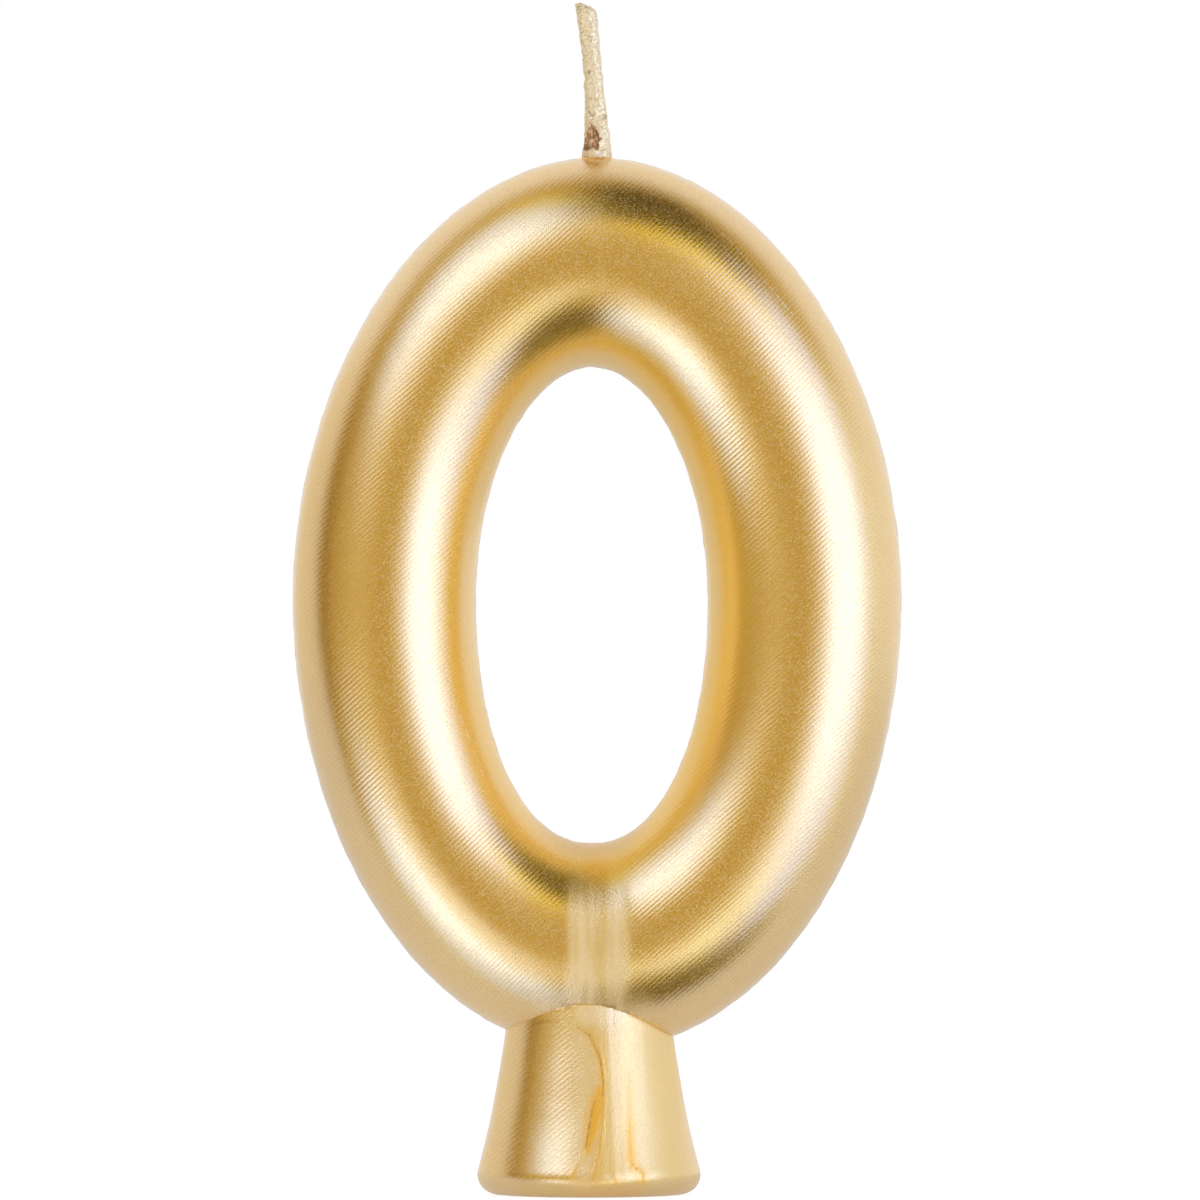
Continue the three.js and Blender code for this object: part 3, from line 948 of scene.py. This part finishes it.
skin = boolean(
    ring_mesh(0, *SKIN_RING_STEPS, ON_RING),
    [
        ("UNION", foot),
        ("UNION", turned_mesh(COLLAR_PROFILE, COLLAR_STEPS, COLLAR_CENTRE_X, ON_RING)),
        ("DIFFERENCE", ring_mesh(SKIN_THICKNESS, *INSIDE_RING_STEPS, ON_RING)),
        ("DIFFERENCE", turned_mesh(inside_outline, INSIDE_FOOT_STEPS, FOOT_CENTRE_X, ON_FOOT)),
        ("DIFFERENCE", wick_bore(WICK_EXIT_RADIUS, *WICK_EXIT_Z, ON_RING)),
    ],
    gold_slots,
)
skin.normal_update()
layers = {key: skin.verts.layers.float.new(key) for key in GOLD_MASKS}
moves, crease = [], []
for vert in skin.verts:
    sides = {face.material_index for face in vert.link_faces}
    height, shares = 0, {}
    fronting = abs(vert.normal.y)
    if sides == {ON_FOOT} and on_foot_outside(vert.co):
        height, shares = foot_relief(vert.co)
        shares["marked"] = blend(0.1, 0.5, fronting)
    elif sides == {ON_RING}:
        height, shares = ring_relief(vert.co)
        shares["painted_inner_reflection"], shares["stained_and_shaded"] = inner_wall_shares(vert)
        shares["marked"] = blend(0.25, 0.6, fronting)
    elif len(sides) == 2 and vert.co.y < CREASE_FRONT_Y and CREASE_Z[0] < vert.co.z < CREASE_Z[1]:
        height = ring_relief(vert.co)[0]
        crease.append(vert.co.copy())
    if shares:
        shares["marked"] *= (1 - MARKS_DULLED * shares["matte"]) * (1 - shares.get("sheet", 0))
    for key, share in shares.items():
        vert[layers[key]] = share
    moves.append((vert, vert.normal * height))
for vert, move in moves:
    vert.co += move
gold_body = finished(skin, "gold_body", gold_slots)
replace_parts(gold_body, "gold_skin")

# Bead along the crease.
# Where the foot meets the ring on the front, lacquer dried as a thin raised line: a lip on the left, a
# bright hair line on the right, and a small burr of wax at its right end.
CREASE_STEPS = 160
CREASE_SIDES = 10
CREASE_RADII = (
    (-6.5, 0.04), (-5, 0.12), (-2.5, 0.13), (-0.5, 0.05), (1, 0.05), (3, 0.07), (5.0, 0.07),
    (5.25, 0.14), (5.4, 0.05),
)
CREASE_AVERAGING = 0.35
CREASE_UNEVENNESS = 0.35
DRIED_BROWN = (0.95, 0.62, 0.25, 1)
DRIED_PALE = (1, 0.8, 0.52, 1)
DRIED_RELIEF = 0.01
crease.sort(key=lambda point: point.x)
left_x, right_x = crease[0].x, crease[-1].x


def crease_point(x):
    """Middle of the crease at x, averaged over the points near it."""
    weights = [max(0, 1 - abs(point.x - x) / CREASE_AVERAGING) for point in crease]
    total = sum(weights)
    y = sum(weight * point.y for weight, point in zip(weights, crease)) / total
    z = sum(weight * point.z for weight, point in zip(weights, crease)) / total
    return Vector((x, y, z))


crease_bead = bmesh.new()
bmesh.ops.create_grid(crease_bead, x_segments=CREASE_STEPS, y_segments=CREASE_SIDES, size=1)
middles = {}
for vert in crease_bead.verts:
    x = left_x + (right_x - left_x) * (vert.co.x + 1) / 2
    key = round(vert.co.x, 4)
    if key not in middles:
        middles[key] = crease_point(x)
    angle = math.pi * (vert.co.y + 1)
    unevenness = CREASE_UNEVENNESS * noise.noise(Vector((x * 3, 0, 0)))
    radius = between(CREASE_RADII, x) * (1 + unevenness)
    vert.co = middles[key] + Vector((0, math.cos(angle), math.sin(angle))) * radius
close_seams(crease_bead)
dried, tree, shader, place = new_material("lacquer dried in the crease")
speckle = grain(tree, place, scale=9000)
dried_colour = mixed(tree, ranged(tree, speckle, 0.35, 0.65), DRIED_BROWN, DRIED_PALE)
tree.links.new(dried_colour, shader.inputs["Base Color"])
tree.links.new(ranged(tree, speckle, 0.3, 0.7, 0.45, 0.3), shader.inputs["Roughness"])
tree.links.new(bumped(tree, speckle, DRIED_RELIEF * MM), shader.inputs["Normal"])
shader.inputs["Metallic"].default_value = 0.7
finished(crease_bead, "crease_bead", [dried])

# Camera.
# Straight from the front and level with the candle's middle, a little over a metre away, with a lens as
# long as that needs. The photograph is square and one of its pixels is 0.0724 mm on the candle.
PIXEL = 0.07241 * MM
FRAME_PIXELS = 1200
ORIGIN_PIXEL = (597.2, 1193.8)  # where the photograph has the origin, under the middle of the ring
CAMERA_DISTANCE = 1.06
SENSOR_WIDTH = 36
camera_data = bpy.data.cameras.new("camera")
camera = placed("camera", camera_data)
camera_data.sensor_width = SENSOR_WIDTH
camera_data.lens = SENSOR_WIDTH * CAMERA_DISTANCE / (FRAME_PIXELS * PIXEL)
camera_data.clip_start = 0.05
camera_data.clip_end = 10
middle_pixel = FRAME_PIXELS / 2
camera.location.x = (middle_pixel - ORIGIN_PIXEL[0]) * PIXEL
camera.location.y = -CAMERA_DISTANCE
camera.location.z = (ORIGIN_PIXEL[1] - middle_pixel) * PIXEL
camera.rotation_euler = (math.radians(90), 0, 0)
bpy.context.scene.camera = camera

# Lamps.
# Three soft boxes round the camera: one to the right, level with the candle, and one above and one below
# on the left. Each is a round lamp with a larger glowing cloth round it, which the world shows.
LAMP_DISTANCE = 0.6
LAMP_COLOUR = (0.72, 0.86, 1)


def towards(azimuth, elevation):
    """Direction from the candle. Azimuth 0 is at the camera and 90 at the right."""
    a, e = math.radians(azimuth), math.radians(elevation)
    return Vector((math.sin(a) * math.cos(e), -math.cos(a) * math.cos(e), math.sin(e)))


def lamp(name, azimuth, elevation, half_angle, radiance):
    """A round lamp that faces the candle, and as seen from it is that many times as bright as white."""
    data = bpy.data.lights.new(name, "AREA")
    data.shape = "DISK"
    data.size = 2 * LAMP_DISTANCE * math.tan(math.radians(half_angle))
    data.energy = radiance * math.pi * math.pi * (data.size / 2) ** 2
    data.color = LAMP_COLOUR
    light = placed(name, data)
    direction = towards(azimuth, elevation)
    light.location = Vector((0, 0, RING_CENTRE_Z * MM)) + direction * LAMP_DISTANCE
    light.rotation_euler = (-direction).to_track_quat("-Z", "Y").to_euler()
    light.visible_camera = False


lamp("right lamp", azimuth=51, elevation=4, half_angle=20.5, radiance=1.1)
lamp("upper left lamp", azimuth=-33, elevation=31, half_angle=21, radiance=0.8)
lamp("lower left lamp", azimuth=-32, elevation=-30, half_angle=20, radiance=0.96)

# World.
# White paper behind the candle. Reflections see the paper too, and on the camera's side a dim warm room
# with pale walls, the cloths of the soft boxes and black flags above and below the right lamp.
PAPER = (0.91, 0.91, 0.91)
PAPER_EDGE = (0.04, 0.45)  # the room gives way to the paper as a direction turns to the back
ROOM = (0.46, 0.31, 0.09)
# Azimuth and elevation, half width and half height in degrees, share of it that is even, and colour.
PATCHES = {
    "left wall": (-123, -21, 44, 49, 0.62, (0.81, 0.77, 0.66)),
    "right wall": (71, -2, 64, 40, 0.39, (0.89, 0.93, 0.97)),
    "right cloth": (54, 2, 32, 42, 0.8, (1, 1.2, 2)),
    "upper left cloth": (-46, 42, 32, 31, 0.47, (0.95, 1.18, 1.75)),
    "lower left cloth": (-53, -31, 22, 19, 0.78, (1.06, 1.35, 2)),
    "dark doorway": (-87, 0, 13, 33, 0.45, (0.16, 0.07, 0)),
    "upper flag": (40, 61, 27, 28.5, 0.86, (0, 0, 0)),
    "lower flag": (42, -60, 32, 24, 0.85, (0.03, 0.015, 0)),
    "upper strip": (-52, 69, 30, 8, 0.02, (0.91, 0.79, 0.15)),
    "ground on the left": (-43, -52, 25, 19, 0.53, (0.77, 0.94, 1.42)),
    "ground in front": (24, -27.5, 27, 12, 0.2, (1.68, 1.72, 1.28)),
    "strip over the right lamp": (29, 36, 29, 6, 0.5, (1.57, 1.24, 0.17)),
}
world = bpy.data.worlds.new("studio")
bpy.context.scene.world = world
world.use_nodes = True
studio = world.node_tree
studio.nodes.clear()
takes = dict.fromkeys(("Direction", "Centre", "Across", "Up"), "Vector")
takes.update(dict.fromkeys(("Width", "Height", "Even share"), "Float"))
patch, given, result = new_group("soft elliptical patch of directions", takes, {"Mask": "Float"})
ahead, across, up = [
    add(patch, "VectorMath", {0: given.outputs[0], 1: axis}, operation="DOT_PRODUCT").outputs["Value"]
    for axis in given.outputs[1:4]
]
ahead = maths(patch, "MAXIMUM", ahead, 0.001)
spread = [
    maths(patch, "POWER", maths(patch, "DIVIDE", maths(patch, "DIVIDE", value, ahead), size), 2)
    for value, size in ((across, given.outputs[4]), (up, given.outputs[5]))
]
reach = maths(patch, "SQRT", maths(patch, "ADD", *spread))
patch.links.new(ranged(patch, reach, given.outputs[6], 1, 1, 0), result.inputs[0])
direction = add(studio, "TexCoord", {}).outputs["Generated"]


def patch_mask(azimuth, elevation, half_width, half_height, even_share):
    """1 in the even part of an ellipse of directions, falling to 0 at its edge."""
    centre = towards(azimuth, elevation)
    across = towards(azimuth + 90, 0)
    inputs = {
        "Direction": direction,
        "Centre": centre,
        "Across": across,
        "Up": centre.cross(across) * -1,
        "Width": math.tan(math.radians(half_width)),
        "Height": math.tan(math.radians(half_height)),
        "Even share": even_share,
    }
    return group_node(studio, patch, inputs).outputs[0]


behind = ranged(studio, add(studio, "SeparateXYZ", {0: direction}).outputs[1], *PAPER_EDGE)
light = mixed(studio, behind, (*ROOM, 1), (*PAPER, 1))
for *extent, colour in PATCHES.values():
    light = mixed(studio, patch_mask(*extent), light, (*colour, 1))
seen = add(studio, "LightPath", {})
light = mixed(studio, seen.outputs["Is Camera Ray"], light, (1, 1, 1, 1))
background = add(studio, "Background", {"Color": light})
add(studio, "OutputWorld", {"Surface": background.outputs[0]})

# Floor.
# White paper from just in front of the candle to behind it. It looks white, apart from the shadow.
FLOOR_EDGES = {"left": -300, "right": 300, "front": -9.5, "back": 400}
FLOOR_Z = -0.05
FLOOR_GREY = (0.45, 0.45, 0.45, 1)
FLOOR_GLOW = 0.8
GLOSSY_SHARE = 0.5  # of the glow, in reflections
bm = bmesh.new()
bmesh.ops.create_grid(bm, x_segments=1, y_segments=1, size=0.5)
for vert in bm.verts:
    vert.co.x = FLOOR_EDGES["left" if vert.co.x < 0 else "right"] * MM
    vert.co.y = FLOOR_EDGES["front" if vert.co.y < 0 else "back"] * MM
    vert.co.z = FLOOR_Z * MM
mesh = bpy.data.meshes.new("floor")
bm.to_mesh(mesh)
bm.free()
floor = placed("floor", mesh)
paper_material = bpy.data.materials.new("white paper")
paper_material.use_nodes = True
tree = paper_material.node_tree
tree.nodes.clear()
seen = add(tree, "LightPath", {})
shown = maths(tree, "MAXIMUM", seen.outputs["Is Camera Ray"], seen.outputs["Is Transmission Ray"])
reflected = maths(tree, "MULTIPLY", seen.outputs["Is Glossy Ray"], GLOSSY_SHARE)
glow = maths(tree, "MULTIPLY", maths(tree, "MAXIMUM", shown, reflected), FLOOR_GLOW)
dull = add(tree, "BsdfDiffuse", {"Color": FLOOR_GREY})
bright = add(tree, "Emission", {"Color": (1, 1, 1, 1), "Strength": glow})
both = add(tree, "AddShader", {0: dull.outputs[0], 1: bright.outputs[0]})
add(tree, "OutputMaterial", {"Surface": both.outputs[0]})
mesh.materials.append(paper_material)

bpy.context.scene.view_settings.view_transform = "Standard"
